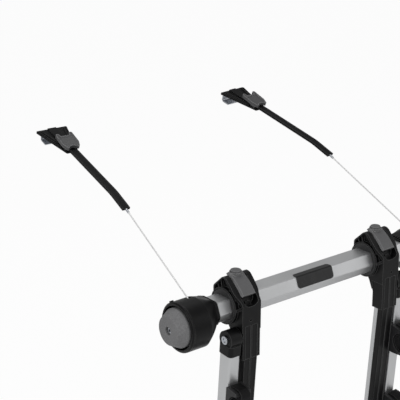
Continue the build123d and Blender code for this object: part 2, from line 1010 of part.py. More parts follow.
def housing():
    """Moulded end housing, from the crossbar's six-sided rim to a round barrel."""
    shoulder_x = rim_start + rim_length + shoulder_place_share * (barrel_start - rim_start - rim_length)
    body = across(rim_section(rim_wall), rim_start, rim_start + rim_length)
    body += loft(
        [
            Plane.YZ.offset(rim_start + rim_length) * rim_section(rim_wall + pocket_wall),
            Plane.YZ.offset(shoulder_x) * shoulder_section(),
            Plane.YZ.offset(barrel_start) * round_section(barrel_y, barrel_z, barrel_radius),
        ]
    )
    body += across(round_section(barrel_y, barrel_z, barrel_radius), barrel_start, barrel_end)
    body += turned(
        [
            (barrel_end, 0),
            (barrel_end, barrel_radius),
            (ring_end - ring_bevel, barrel_radius),
            (ring_end, barrel_radius - ring_bevel),
            (ring_end, 0),
        ],
        barrel_y,
        barrel_z,
    )
    lug = Rot(0, 0, lug_angle) * Pos(barrel_radius, 0) * Rectangle(2 * lug_height, 2 * lug_half)
    body += across(Pos(barrel_y, barrel_z) * lug, barrel_end - ring_bevel, ring_end - ring_bevel)
    body -= rod_across(barrel_y, barrel_z, cavity_radius, barrel_start, ring_end)
    body -= rod_across(barrel_y, barrel_z, ring_inner, ring_floor, ring_end + overrun)
    body -= across(bar_outline(fit), rim_start - overrun, bar_end)
    body -= rod_across(barrel_y, barrel_z, shaft_radius + fit, bar_end - overrun, barrel_start + overrun)
    body -= along_cable(-barrel_radius / 2, bush_end, bush_radius + fit)
    pocket = along_cable(pocket_start, barrel_radius, pocket_radius)
    return body - (pocket - beneath_cable(pocket_below))


def cable_bush():
    """Flanged guide that the cable runs through."""
    return along_cable(-bush_start, bush_end, bush_radius) - along_cable(
        -overrun, bush_end + overrun, cable_radius + running
    )


def drum():
    """Spool that the cable winds on, with a six-sided drive for the knob."""
    core = cable_drum_radius() - cable_radius - fit
    spool = turned(
        [
            (drum_start, 0),
            (drum_start, drum_flange_radius),
            (drum_start + drum_flange, drum_flange_radius),
            (drum_start + drum_flange, core),
            (drum_end - drum_flange, core),
            (drum_end - drum_flange, drum_flange_radius),
            (drum_end, drum_flange_radius),
            (drum_end, 0),
        ],
        barrel_y,
        barrel_z,
    )
    drive = across(
        Pos(barrel_y, barrel_z) * RegularPolygon(drum_drive_half, 6, major_radius=False),
        drum_end,
        drum_drive_end,
    )
    return spool + drive - bore(barrel_y, barrel_z, shaft_radius + running / 2, drum_start, drum_drive_end)


def winding():
    """Outer layer of wound cable: a ridge on both sides of the turn that leaves the drum."""
    direction, _ = cable_direction()
    core = cable_drum_radius() - cable_radius
    middle = cable_x - direction.X * tangent_distance()
    wires = []
    for turn in (-1, 0, 1):
        ring = Pos(middle + turn * winding_pitch, core + cable_radius) * Circle(cable_radius)
        arc = winding_arc if turn == 0 else 360
        start = cable_angle() + winding_start if turn == 0 else 0
        wires.append(
            Pos(0, barrel_y, barrel_z) * Rot(start, 0, 0) * revolve(ring, Axis.X, revolution_arc=arc)
        )
    return wires


def shaft():
    body = rod_across(barrel_y, barrel_z, shaft_radius, shaft_start, shaft_end)
    flange = rod_across(
        barrel_y, barrel_z, shaft_flange_radius, barrel_start + fit, barrel_start + fit + shaft_flange
    )
    return body + flange


def bearing_plate():
    """Ring that closes the drum's chamber and carries the knob's hub."""
    return turned(
        [
            (plate_start, knob_hub_radius + running),
            (plate_start, cavity_radius - fit),
            (plate_end, cavity_radius - fit),
            (plate_end, knob_hub_radius + running),
        ],
        barrel_y,
        barrel_z,
    )


def knob():
    """Dished grip with a bevelled face, a recess for its screw and a hub towards the drum."""
    body = turned(
        [
            (plate_start, 0),
            (plate_start, knob_hub_radius),
            (knob_start, knob_hub_radius),
            (knob_start, knob_back_radius),
            (knob_start + knob_skirt, knob_back_radius),
            (knob_end, knob_face_radius),
            (knob_end, 0),
        ],
        barrel_y,
        barrel_z,
    )
    rims = body.edges().filter_by(GeomType.CIRCLE).group_by(Axis.X)
    body = fillet(rims[-1], knob_edge)
    recess_floor = knob_end - knob_recess_depth
    body -= rod_across(barrel_y, barrel_z, knob_recess_radius, recess_floor, knob_end + overrun)
    body -= bore(barrel_y, barrel_z, shaft_radius + running / 2, plate_start, recess_floor)
    socket = Pos(barrel_y, barrel_z) * RegularPolygon(drum_drive_half + fit, 6, major_radius=False)
    return body - across(socket, plate_start - overrun, drum_drive_end + fit)


def knob_screw():
    start = shaft_end + fit
    head_start = knob_end - knob_recess_depth + fit
    head = rod_across(barrel_y, barrel_z, screw_head_radius, head_start, head_start + screw_head)
    neck = rod_across(barrel_y, barrel_z, shaft_radius, shaft_end, head_start)
    socket = across(
        Pos(barrel_y, barrel_z) * RegularPolygon(screw_head_radius / 2, 6), start + screw_head, knob_end
    )
    return head + neck - socket


def cable():
    """Steel cable, straight from the drum to the sleeve."""
    _, length = cable_direction()
    return along_cable(-tangent_distance(), length, cable_radius)


# Hooks
def hook_plane():
    """Upright plane through the cable and the hook."""
    run_x, run_y = sleeve_x - cable_x, sleeve_y - exit_y
    flat = hypot(run_x, run_y)
    return Plane(
        origin=(cable_x, exit_y, 0),
        x_dir=(run_x / flat, run_y / flat, 0),
        z_dir=(run_y / flat, -run_x / flat, 0),
    )


def upright(outline, half):
    """Stretch an outline of the hook's plane to both sides."""
    return extrude(hook_plane() * outline, amount=half, both=True)


def sleeve_run():
    return hypot(sleeve_x - cable_x, sleeve_y - exit_y)


def band(points, above, below, bend):
    """Closed outline that follows the points, from a height above them to one below."""
    high = [(run, z + above) for run, z in points]
    low = [(run, z - below) for run, z in reversed(points)]
    radii = [fit] + [bend] * (len(points) - 2) + [fit, fit] + [bend] * (len(points) - 2) + [fit]
    return rounded(high + low, radii)


def sleeve():
    """Flat rubber sleeve with a raised rim along both edges."""
    points = [
        (sleeve_run() - sleeve_thickness, sleeve_start_z()),
        (sleeve_mid_run, sleeve_mid_z),
        (sleeve_end_run, sleeve_end_z),
    ]
    half = sleeve_thickness / 2
    body = upright(band(points, half, half, sleeve_bend), sleeve_width / 2)
    rims = upright(band(points, half + sleeve_rim_rise, half, sleeve_bend), sleeve_width / 2)
    rims -= upright(
        band(points, 2 * sleeve_thickness, 2 * sleeve_thickness, sleeve_bend), sleeve_width / 2 - sleeve_rim
    )
    _, length = cable_direction()
    return body + rims - along_cable(length - sleeve_width, length, sleeve_width)


def sleeve_start_z():
    return sleeve_z - sleeve_thickness * (sleeve_mid_z - sleeve_z) / (sleeve_mid_run - sleeve_run())


def hook_slope():
    return degrees(atan2(sleeve_end_z - sleeve_mid_z, sleeve_end_run - sleeve_mid_run))


def hook_base(rise):
    """Plane along the hook plate's length, from its near end, at a height over its underside."""
    slope = radians(hook_slope())
    z = sleeve_end_z - (sleeve_end_run - plate_run) * tan(slope)
    drop = (plate_thickness + sleeve_thickness / 2 + fit) / cos(slope)
    return hook_plane() * Pos(plate_run, z - drop) * Rot(0, 0, hook_slope()) * Pos(0, rise) * Rot(-90, 0, 0)


def hook_plate():
    """Plate that flares towards the tailgate's edge, with ridges and a strap along its middle."""
    outline = make_face(
        Polyline(
            (0, -plate_near_half),
            (plate_length, -plate_far_half),
            (plate_length, plate_far_half),
            (0, plate_near_half),
            close=True,
        ).edges()
    )
    outline = fillet(outline.vertices(), lip_bend / 2)
    body = extrude(outline, amount=plate_thickness)
    flare = atan2(plate_far_half - plate_near_half, plate_length)
    strap_start = clip_start + clip_foot + clip_foot_length + overrun
    middle = (strap_start + plate_length - lip_bend) / 2
    run = (plate_length - lip_bend - strap_start) / cos(flare)
    for side in (-1, 1):
        for inset in (ridge_width, ridge_inset + ridge_width):
            ridge = Pos(middle, side * (plate_near_half + middle * tan(flare) - inset)) * Rot(
                0, 0, side * degrees(flare)
            )
            body += extrude(ridge * Rectangle(run, ridge_width), amount=plate_thickness + ridge_rise)
    strap = Pos((strap_start + plate_length) / 2, 0) * Rectangle(
        plate_length - strap_start - lip_bend / 2, 2 * strap_band_half
    )
    body += extrude(strap, amount=plate_thickness + strap_band_rise)
    return hook_base(0) * body


def hook_lip():
    """Steel strip under the plate that bends down and back round the tailgate's edge."""
    points = [
        (plate_length / 2, 0),
        (plate_length + lip_bend, 0),
        (plate_length + lip_bend, -lip_drop),
        (plate_length + lip_bend - lip_return, -lip_drop),
    ]
    centre = FilletPolyline(*points, radius=lip_bend)
    strip = make_face(offset(centre, amount=lip_thickness / 2, side=Side.BOTH).edges())
    return hook_base(-lip_thickness / 2 - fit) * Rot(90, 0, 0) * extrude(strip, amount=lip_half, both=True)


def clip_outline(inset):
    """Plan of the clip, or of its inside at a distance from its edge."""
    notch = clip_length * clip_notch_share - inset
    shoulder = clip_length * clip_shoulder_share
    prong = clip_half - clip_prong + inset
    points = [
        (inset, inset - clip_near_half),
        (shoulder, inset - clip_half),
        (clip_length - inset, inset - clip_half),
        (clip_length - inset, -prong),
        (notch, -prong),
        (notch, prong),
        (clip_length - inset, prong),
        (clip_length - inset, clip_half - inset),
        (shoulder, clip_half - inset),
        (inset, clip_near_half - inset),
    ]
    tip = (clip_prong / 2 - inset) * clip_tip_share
    radii = [clip_prong / 2, clip_prong, tip, tip, clip_prong / 2]
    bay = Pos(-clip_bay, 0) * Circle(2 * clip_bay + inset)
    return rounded(points, radii + radii[::-1]) - bay


def clip():
    """Grey clip whose two prongs hold the hook's strap, with raised rims."""
    body = extrude(clip_outline(0), amount=clip_thickness)
    rim = extrude(clip_outline(0) - clip_outline(clip_rim), amount=clip_thickness + clip_rim_rise)
    body += rim
    # Feet on both sides of the sleeve, down to the plate
    for side in (-1, 1):
        middle = side * (sleeve_width / 2 + running + clip_foot_width / 2)
        body += Pos(clip_foot + clip_foot_length / 2, middle, -clip_foot_length / 4) * Box(
            clip_foot_length, clip_foot_width, clip_foot_length / 2 + clip_thickness
        )
    rise = plate_thickness + sleeve_thickness + sleeve_rim_rise + 2 * fit
    turn = clip_slope - hook_slope()
    seat = hook_base(rise) * Pos(clip_start, 0, 0) * Rot(0, -turn, 0) * body
    under = hook_base(plate_thickness + fit) * Pos(plate_length / 2, 0, -plate_length / 4) * Box(
        2 * plate_length, plate_length, plate_length / 2
    )
    return seat - under


# The pieces, one file each
def both(solid):
    """A piece of the right side with its mirror image."""
    return [solid, mirror(solid, about=Plane.YZ)]


def write_group(name, solids):
    """A group of separate solids on each side."""
    write(f"{name}_right", *solids)
    write(f"{name}_left", *[mirror(solid, about=Plane.YZ) for solid in solids])


write("crossbar_tube", crossbar())
write("badge_plate", badge())
write("angle_collars", *both(collar()))
write_pair("hub_bracket", bracket())
write_pair("release_lever", lever())
write("lever_pins", *both(lever_pin()))
write_pair("push_button", button())
write_pair("button_spring", button_spring())
write_pair("lock_shoe", shoe())
write_pair("leg", leaned(leg()))
write_pair("leg_cover", leaned(leg_cover()))
write("lower_crossbar", lower_bar())
write("lower_bar_caps", *lower_caps())
write("leg_clamps", *both(leaned(clamp())))
write_pair("foot_holder", foot())
write_pair("foot_pad", foot_pad())
write_pair("bike_arm", hung(arm_tube()))
write_pair("arm_hub", hung(arm_hub()))
write_pair("arm_cap", hung(arm_cap()))
write("pivot_bolts", *both(pivot_bolt()))

cradle_tops = [cradle_first + i * cradle_pitch for i in range(2)]
write_group("cradles", [hung(cradle(top)) for top in cradle_tops])
write_group("cradle_liners", [hung(cradle_liner(top)) for top in cradle_tops])
write_group("cradle_straps", [hung(cradle_strap(top)) for top in cradle_tops])

write_pair("end_housing", housing())
write("cable_bushes", *both(cable_bush()))
write("drum_shafts", *both(shaft()))
write("bearing_plates", *both(bearing_plate()))
write_pair("drum", drum())
write_group("cable_winding", winding())
write_pair("knob", knob())
write("knob_screws", *both(knob_screw()))
write_pair("cable", cable())
write_pair("cable_sleeve", sleeve())
write_pair("hook_plate", hook_plate())
write_pair("hook_lip", hook_lip())
write_pair("hook_clip", clip())

print(
    "cable length", round(cable_direction()[1]), "drum radius at the cable", round(cable_drum_radius(), 2)
)
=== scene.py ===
# %% [markdown]
# # Trunk mounted bike rack
# The rack hangs by two steel cables. A crossbar with a winder housing at each end carries two hub
# brackets, and each bracket carries a leg and a folding arm.
# The CAD model brings every rigid piece at its true size, already assembled, so the work here is
# the finish: the camera, the two cables, light, materials, rounded edges and small fittings.

# %% The CAD model and its box
from math import cos, pi, radians, sin

import bmesh
import bpy
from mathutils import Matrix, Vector


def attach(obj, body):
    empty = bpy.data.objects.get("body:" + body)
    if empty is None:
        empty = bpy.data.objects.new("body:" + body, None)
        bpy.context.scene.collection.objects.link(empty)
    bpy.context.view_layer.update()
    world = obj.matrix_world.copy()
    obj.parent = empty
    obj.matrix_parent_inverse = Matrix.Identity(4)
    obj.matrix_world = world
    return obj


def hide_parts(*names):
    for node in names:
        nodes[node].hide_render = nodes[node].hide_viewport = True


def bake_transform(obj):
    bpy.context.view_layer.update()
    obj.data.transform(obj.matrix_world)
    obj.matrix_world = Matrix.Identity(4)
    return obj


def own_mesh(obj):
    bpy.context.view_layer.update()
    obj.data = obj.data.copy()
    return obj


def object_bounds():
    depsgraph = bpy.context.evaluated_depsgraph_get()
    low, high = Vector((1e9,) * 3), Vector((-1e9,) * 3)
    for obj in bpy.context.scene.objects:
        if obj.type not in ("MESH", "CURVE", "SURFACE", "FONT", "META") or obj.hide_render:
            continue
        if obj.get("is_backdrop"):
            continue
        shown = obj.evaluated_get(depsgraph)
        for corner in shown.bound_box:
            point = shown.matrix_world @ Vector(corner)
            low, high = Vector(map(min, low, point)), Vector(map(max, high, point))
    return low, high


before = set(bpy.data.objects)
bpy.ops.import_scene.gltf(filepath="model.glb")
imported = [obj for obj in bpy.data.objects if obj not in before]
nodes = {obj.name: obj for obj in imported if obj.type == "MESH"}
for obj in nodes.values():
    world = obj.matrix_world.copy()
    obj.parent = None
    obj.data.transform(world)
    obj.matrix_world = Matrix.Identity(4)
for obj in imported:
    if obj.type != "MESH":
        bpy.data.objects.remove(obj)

cad_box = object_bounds()
MM = 0.001

# %% [markdown]
# ## Camera
# The photograph looks at the rack from its left and from a little above, with a long lens, so
# the crossbar's parallel edges hardly converge. The two like brackets and the two like housings
# give the distance: the left ones look only a tenth larger than the right ones.

# %% Camera at the photograph's angle
FRAME_PIXELS = 400
FOCAL_PIXELS = 1400
SENSOR = 36  # width in mm
NEAR_CLIP = 0.05
CAMERA_PLACE = (-1.795, -1.912, 1.115)
LOOKS_DOWN = 19.91  # degrees below level
LOOKS_RIGHT = 38.45  # degrees away from the y axis

camera_data = bpy.data.cameras.new("camera")
camera_data.sensor_width = SENSOR
camera_data.lens = FOCAL_PIXELS / FRAME_PIXELS * SENSOR
camera_data.clip_start = NEAR_CLIP
camera = bpy.data.objects.new("camera", camera_data)
camera.location = CAMERA_PLACE
camera.rotation_euler = (radians(90 - LOOKS_DOWN), 0, radians(-LOOKS_RIGHT))
bpy.context.scene.collection.objects.link(camera)
bpy.context.scene.camera = camera
print("lens", camera_data.lens, "mm")

# %% [markdown]
# ## Steel cables
# Each housing lets out a 3 mm wire rope that runs straight to the hook, because the rack's weight
# keeps it taut. A wire rope is six strands laid round a core, which gives the eye a fine twisted
# ridge. A tube with six lobes that turn along its length has that ridge without loose strands.
# The tube follows points read from a straight spline between the cable's two ends.

# %% Route of the cables
CABLE_EXIT = Vector((300, -1.6, 29.2)) * MM
CABLE_END = Vector((279.4, 233.7, 145.4)) * MM
CABLE_RADIUS = 1.5 * MM
ROPE_START = 1.5 * MM  # the visible rope starts this far along the route, inside the bush
along = (CABLE_END - CABLE_EXIT).normalized()
rope_start = CABLE_EXIT + along * ROPE_START

# %% Points read from a spline
SPLINE_STEPS = 130  # how many points are read from each of its runs


def spline_points(name, points):
    """The points of a smooth NURBS line through space."""
    curve = bpy.data.curves.new(name, "CURVE")
    curve.dimensions = "3D"
    line = curve.splines.new("NURBS")
    line.points.add(len(points) - 1)
    for place, point in zip(line.points, points):
        place.co = (*point, 1)
    line.order_u = 3
    line.use_endpoint_u = True
    line.resolution_u = SPLINE_STEPS
    holder = bpy.data.objects.new(name, curve)
    bpy.context.scene.collection.objects.link(holder)
    bpy.context.view_layer.update()
    mesh = bpy.data.meshes.new_from_object(holder)
    found = [v.co.copy() for v in mesh.vertices]
    bpy.data.objects.remove(holder)
    bpy.data.meshes.remove(mesh)
    return found


# %% Lobed tube that twists like a wire rope
STRANDS = 6
ROPE_SIDES = 30
LAY_LENGTH = 21 * MM  # how far a strand runs in one turn
LOBE_DEPTH = 0.12 * MM


def rope_ring(shape, centre, turn, side, up):
    """One ring of points round the rope's middle line, turned with the lay."""
    ring = []
    for k in range(ROPE_SIDES):
        angle = 2 * pi * k / ROPE_SIDES
        radius = CABLE_RADIUS - LOBE_DEPTH * (1 - abs(cos(STRANDS * angle / 2)))
        spoke = side * cos(angle + turn) + up * sin(angle + turn)
        ring.append(shape.verts.new(centre + spoke * radius))
    return ring


def wire_rope(name, path):
    """A closed tube along a straight path whose section is six lobes, turning with the lay."""
    direction = (path[-1] - path[0]).normalized()
    side = direction.cross(Vector((0, 0, 1))).normalized()
    up = side.cross(direction)
    shape = bmesh.new()
    rings = []
    for point in path:
        turn = 2 * pi * (point - path[0]).length / LAY_LENGTH
        rings.append(rope_ring(shape, point, turn, side, up))
    for a, b in zip(rings, rings[1:]):
        for k in range(ROPE_SIDES):
            after = (k + 1) % ROPE_SIDES
            shape.faces.new((a[k], a[after], b[after], b[k]))
    shape.faces.new(list(reversed(rings[0])))
    shape.faces.new(rings[-1])
    bmesh.ops.recalc_face_normals(shape, faces=shape.faces)
    for face in shape.faces:
        face.smooth = len(face.verts) == 4
    mesh = bpy.data.meshes.new(name)
    shape.to_mesh(mesh)
    shape.free()
    rope = bpy.data.objects.new(name, mesh)
    bpy.context.scene.collection.objects.link(rope)
    return rope


# %% A rope on each side, in place of its plain CAD cable
SIGNS = {"right": 1, "left": -1}  # which way each side lies along x
MIDDLE_SHARES = (0.4, 0.62)  # the spline needs points between its ends; these are on the line
ropes = {}
for side_name, sign in SIGNS.items():
    flip = Vector((sign, 1, 1))
    start = rope_start * flip
    end = CABLE_END * flip
    middle = [start.lerp(end, share) for share in MIDDLE_SHARES]
    rope = wire_rope("wire_rope_" + side_name, spline_points("route", [start, *middle, end]))
    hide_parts("cable_" + side_name)
    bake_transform(rope)
    ropes[side_name] = rope
    print(rope.name, len(rope.data.polygons), "faces")

# %% [markdown]
# ## Floor, light and background
# The photograph is a catalogue picture: white all round, with broad soft light from the front left
# and above, so black plastic stays readable and metal shows wide soft bands. Four large area
# lamps do that. The floor is a pale sheet below the rack that looks white to the camera and partly
# white in reflections, and still takes the rack's soft shadow.

# %% Helpers for materials
def colour(hexcode):
    """A linear colour from an sRGB hex value, by the sRGB standard's curve."""
    values = [int(hexcode[i : i + 2], 16) / 255 for i in (1, 3, 5)]
    return [v / 12.92 if v <= 0.04045 else ((v + 0.055) / 1.055) ** 2.4 for v in values] + [1]


def dimmed(base, level):
    """A linear colour times a level, with its alpha kept at 1."""
    return [level * c for c in base[:3]] + [1]


def add(tree, kind, settings=None, links=None):
    """Add a node, set its values and connect its inputs to other nodes' outputs."""
    node = tree.nodes.new(kind)
    for key, value in (settings or {}).items():
        if isinstance(key, int) or key in node.inputs:
            node.inputs[key].default_value = value
        else:
            setattr(node, key, value)
    for key, socket in (links or {}).items():
        tree.links.new(socket, node.inputs[key])
    return node


def new_material(name):
    """An empty node material with its output."""
    material = bpy.data.materials.new(name)
    material.use_nodes = True
    tree = material.node_tree
    tree.nodes.clear()
    return material, tree, add(tree, "ShaderNodeOutputMaterial")


# %% Floor
FLOOR_Z = -0.56  # 40 mm below the lowest piece
FLOOR_SIZE = 40
CAMERA_WHITE = 0.95  # how much of the floor is plain white to the camera
GLOSSY_WHITE = 0.4  # and to reflections
WHITE = (1, 1, 1, 1)
bpy.ops.object.select_all(action="DESELECT")
bpy.ops.mesh.primitive_plane_add(size=FLOOR_SIZE, location=(0, 0, FLOOR_Z))
floor = bpy.context.object
floor.name = "floor"
floor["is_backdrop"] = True
material, tree, out = new_material("pale_floor")
ray = add(tree, "ShaderNodeLightPath")
mirrored = add(
    tree,
    "ShaderNodeMath",
    {"operation": "MULTIPLY", 1: GLOSSY_WHITE},
    {0: ray.outputs["Is Glossy Ray"]},
)
paint = add(tree, "ShaderNodeBsdfDiffuse", {"Color": colour("#e9e9e9")})
glow = add(tree, "ShaderNodeEmission", {"Color": WHITE, "Strength": 1})
share = add(
    tree,
    "ShaderNodeMath",
    {"operation": "MULTIPLY_ADD", 1: CAMERA_WHITE},
    {0: ray.outputs["Is Camera Ray"], 2: mirrored.outputs[0]},
)
mix = add(
    tree,
    "ShaderNodeMixShader",
    links={0: share.outputs[0], 1: paint.outputs[0], 2: glow.outputs[0]},
)
tree.links.new(mix.outputs[0], out.inputs[0])
floor.data.materials.append(material)
print("floor", FLOOR_SIZE, "m wide at", FLOOR_Z, "m")

# %% [markdown]
# The world behind the floor lights the rack softly from all round. The camera sees it as plain
# white instead, so no horizon shows where the floor ends.

# %% World
SKY_LIGHT = 0.42
world = bpy.data.worlds.new("studio")
bpy.context.scene.world = world
world.use_nodes = True
tree = world.node_tree
tree.nodes.clear()
ray = add(tree, "ShaderNodeLightPath")
soft_sky = add(tree, "ShaderNodeBackground", {"Color": WHITE, "Strength": SKY_LIGHT})
backdrop = add(tree, "ShaderNodeBackground", {"Color": WHITE, "Strength": 1})
sky = add(
    tree,
    "ShaderNodeMixShader",
    links={0: ray.outputs["Is Camera Ray"], 1: soft_sky.outputs[0], 2: backdrop.outputs[0]},
)
add(tree, "ShaderNodeOutputWorld", links={0: sky.outputs[0]})
print("sky light", SKY_LIGHT)

# %% Four area lamps
LAMPS = {
    # name: place, what it points at, side of its square in metres, power in watts
    "key": ((-1.3, -2.3, 1.7), (0, 0, 0), 1.3, 31),
    "side": ((-2.7, 0.1, 1.1), (-0.1, 0, 0), 1.1, 16),
    "fill": ((1.9, -1.5, 0.9), (0, 0, 0), 1.6, 9),
    "top": ((0.2, 0.8, 2.4), (0, 0.1, 0), 1.6, 16),
}
for name, (place, target, size, power) in LAMPS.items():
    data = bpy.data.lights.new(name, "AREA")
    data.size = size
    data.energy = power
    light = bpy.data.objects.new(name, data)
    light.location = place
    light.rotation_euler = (Vector(target) - Vector(place)).to_track_quat("-Z", "Y").to_euler()
    bpy.context.scene.collection.objects.link(light)
    print(name, "lamp", power, "W")
bpy.context.scene.view_settings.view_transform = "Standard"

# %% [markdown]
# ## Materials
# Real pieces have no knife edges: the extrusions' are rounded by about half a millimetre and the
# mouldings' by up to three, and each catches a thin line of light. Cutting that into the meshes
# would cost many faces, so each material rounds its edges in the shading, with the Bevel node.

# %% Rounded edges
BEVEL_SAMPLES = 6


def soft_edges(tree, radius, height, strength, distance):
    """Normals rounded near the edges, and a height pattern's bump over them; sizes in mm."""
    edge = add(tree, "ShaderNodeBevel", {"samples": BEVEL_SAMPLES, "Radius": radius * MM})
    bump = add(
        tree,
        "ShaderNodeBump",
        {"Strength": strength, "Distance": distance * MM},
        {"Height": height, "Normal": edge.outputs[0]},
    )
    return edge, bump


# %% [markdown]
# Anodised aluminium first: the extrusions were drawn through a die, which leaves very fine lines
# along their length, and anodising makes their sheen even and a little dull.

# %% Anodised aluminium, drawn along one axis
ALU_ROUGH = 0.42
ALU_SHEEN = (-0.05, 0.07)  # how far the roughness goes below and above that
ALU_EDGE = 0.5  # edge radius in mm
LINES_ACROSS = 3300  # per metre across the profile, so die lines are about 0.3 mm apart
LINES_ALONG = 16  # per metre along it, so each line is about 60 mm long
LINE_SHADE = 0.9  # how bright the darkest line is
LINE_DEPTH = 0.05  # in mm
LINE_STRENGTH = 0.12
ALU_CLOUDS = 25  # per metre, so patches of duller sheen are about 40 mm wide
LINES_AND_CLOUDS = (0.6, 1.4)  # where the sum of the two noises lies


def anodised(name, axis):
    """Anodised aluminium whose die lines run along one axis, 0 for x and 2 for z."""
    material, tree, out = new_material(name)
    place = add(tree, "ShaderNodeTexCoord").outputs["Object"]
    scale = [LINES_ACROSS] * 3
    scale[axis] = LINES_ALONG
    stretch = add(tree, "ShaderNodeMapping", {"Scale": scale}, {0: place})
    lines = add(tree, "ShaderNodeTexNoise", {"Scale": 1, "Detail": 2}, {0: stretch.outputs[0]})
    cloud = add(tree, "ShaderNodeTexNoise", {"Scale": ALU_CLOUDS, "Detail": 3}, {0: place})
    both = add(
        tree,
        "ShaderNodeMath",
        {"operation": "ADD"},
        {0: lines.outputs[0], 1: cloud.outputs[0]},
    )
    tone = add(
        tree,
        "ShaderNodeMapRange",
        {
            "From Min": LINES_AND_CLOUDS[0],
            "From Max": LINES_AND_CLOUDS[1],
            "To Min": ALU_ROUGH + ALU_SHEEN[0],
            "To Max": ALU_ROUGH + ALU_SHEEN[1],
        },
        {0: both.outputs[0]},
    )
    shade = add(tree, "ShaderNodeValToRGB", links={0: lines.outputs[0]})
    base = colour("#c8c9ca")
    for element, level in zip(shade.color_ramp.elements, (LINE_SHADE, 1)):
        element.color = dimmed(base, level)
    _, bump = soft_edges(tree, ALU_EDGE, lines.outputs[0], LINE_STRENGTH, LINE_DEPTH)
    surface = add(
        tree,
        "ShaderNodeBsdfPrincipled",
        {"Metallic": 1},
        {
            "Base Color": shade.outputs[0],
            "Roughness": tone.outputs[0],
            "Normal": bump.outputs[0],
        },
    )
    tree.links.new(surface.outputs[0], out.inputs[0])
    return material


alu_across = anodised("anodised_aluminium_x", 0)
alu_down = anodised("anodised_aluminium_z", 2)
print("made", alu_across.name, "and", alu_down.name)

# %% [markdown]
# Moulded plastic: glass-filled nylon for the dark mouldings and a plainer grey nylon for what a
# hand touches. The mould was spark-eroded, so the skin has a fine even grain, and handling wears
# it a little smoother in patches. Its edges are painted paler, a painted highlight that also stands
# for rubbing. The knobs' skin is speckled, and their speckles are drawn 3 mm wide, because finer
# ones don't show in the render.

# %% Moulded nylon
NYLON_IOR = 1.53
NYLON_SHEEN = (-0.05, 0.06)  # how far the roughness goes below and above its middle
NOISE_RANGE = (0.3, 0.7)  # where nearly all of a noise lies
GRAIN_STRENGTH = 0.35
WORN_PATCHES = 40  # per metre, so they are about 25 mm wide
WORN_SPREAD = 0.12  # how far the colour goes from its middle in patches
SPECKLE_SPREAD = 0.5  # and in speckles
WORN_HIGHLIGHT_GAIN = 1.6  # an edge with its painted highlight, which also stands for rubbing, is the colour times this
WORN_HIGHLIGHT_LIFT = 0.11  # plus this linear value
EDGE_TURN = (0.985, 0.88)  # cosines of the rounded normal's lean where the painted edge highlight starts and is full


# The strength given for edges sets how far they are painted paler, a painted highlight that also
# stands for rubbing
def moulded(
    name, hexcode, rough, grain=0.5, depth=0.05, gloss=0.3, rounding=1.1, wear_and_highlight=0.6, speckled=False
):
    """Moulded plastic; the grain's spacing and depth and the edges' rounding are in mm."""
    material, tree, out = new_material(name)
    place = add(tree, "ShaderNodeTexCoord").outputs["Object"]
    skin = add(
        tree,
        "ShaderNodeTexNoise",
        {"Scale": 1 / (grain * MM), "Detail": 3, "Roughness": 0.6},
        {0: place},
    )
    worn = add(tree, "ShaderNodeTexNoise", {"Scale": WORN_PATCHES, "Detail": 2}, {0: place})
    tone = add(
        tree,
        "ShaderNodeMapRange",
        {
            "From Min": NOISE_RANGE[0],
            "From Max": NOISE_RANGE[1],
            "To Min": rough + NYLON_SHEEN[0],
            "To Max": rough + NYLON_SHEEN[1],
        },
        {0: worn.outputs[0]},
    )
    pattern, spread = (skin, SPECKLE_SPREAD) if speckled else (worn, WORN_SPREAD)
    shade = add(tree, "ShaderNodeValToRGB", links={0: pattern.outputs[0]})
    base = colour(hexcode)
    for element, level in zip(shade.color_ramp.elements, (1 - spread, 1 + spread)):
        element.color = dimmed(base, level)
    edge, bump = soft_edges(tree, rounding, skin.outputs[0], GRAIN_STRENGTH, depth)
    # Near an edge the rounded normal leaves the true one, and there the colour is painted paler: a
    # painted highlight along the edge that also stands for rubbing
    true = add(tree, "ShaderNodeNewGeometry")
    turned = add(
        tree,
        "ShaderNodeVectorMath",
        {"operation": "DOT_PRODUCT"},
        {0: true.outputs["Normal"], 1: edge.outputs[0]},
    )
    worn_and_highlit = add(
        tree,
        "ShaderNodeMapRange",
        {"From Min": EDGE_TURN[0], "From Max": EDGE_TURN[1], "To Min": 0, "To Max": wear_and_highlight},
        {0: turned.outputs["Value"]},
    )
    paler = [min(1, WORN_HIGHLIGHT_GAIN * c + WORN_HIGHLIGHT_LIFT) for c in base[:3]] + [1]
    pale = add(
        tree,
        "ShaderNodeMix",
        {"data_type": "RGBA", 7: paler},
        {0: worn_and_highlit.outputs[0], 6: shade.outputs[0]},
    )
    surface = add(
        tree,
        "ShaderNodeBsdfPrincipled",
        {"IOR": NYLON_IOR, "Specular IOR Level": gloss},
        {
            "Base Color": pale.outputs[2],
            "Roughness": tone.outputs[0],
            "Normal": bump.outputs[0],
        },
    )
    tree.links.new(surface.outputs[0], out.inputs[0])
    return material


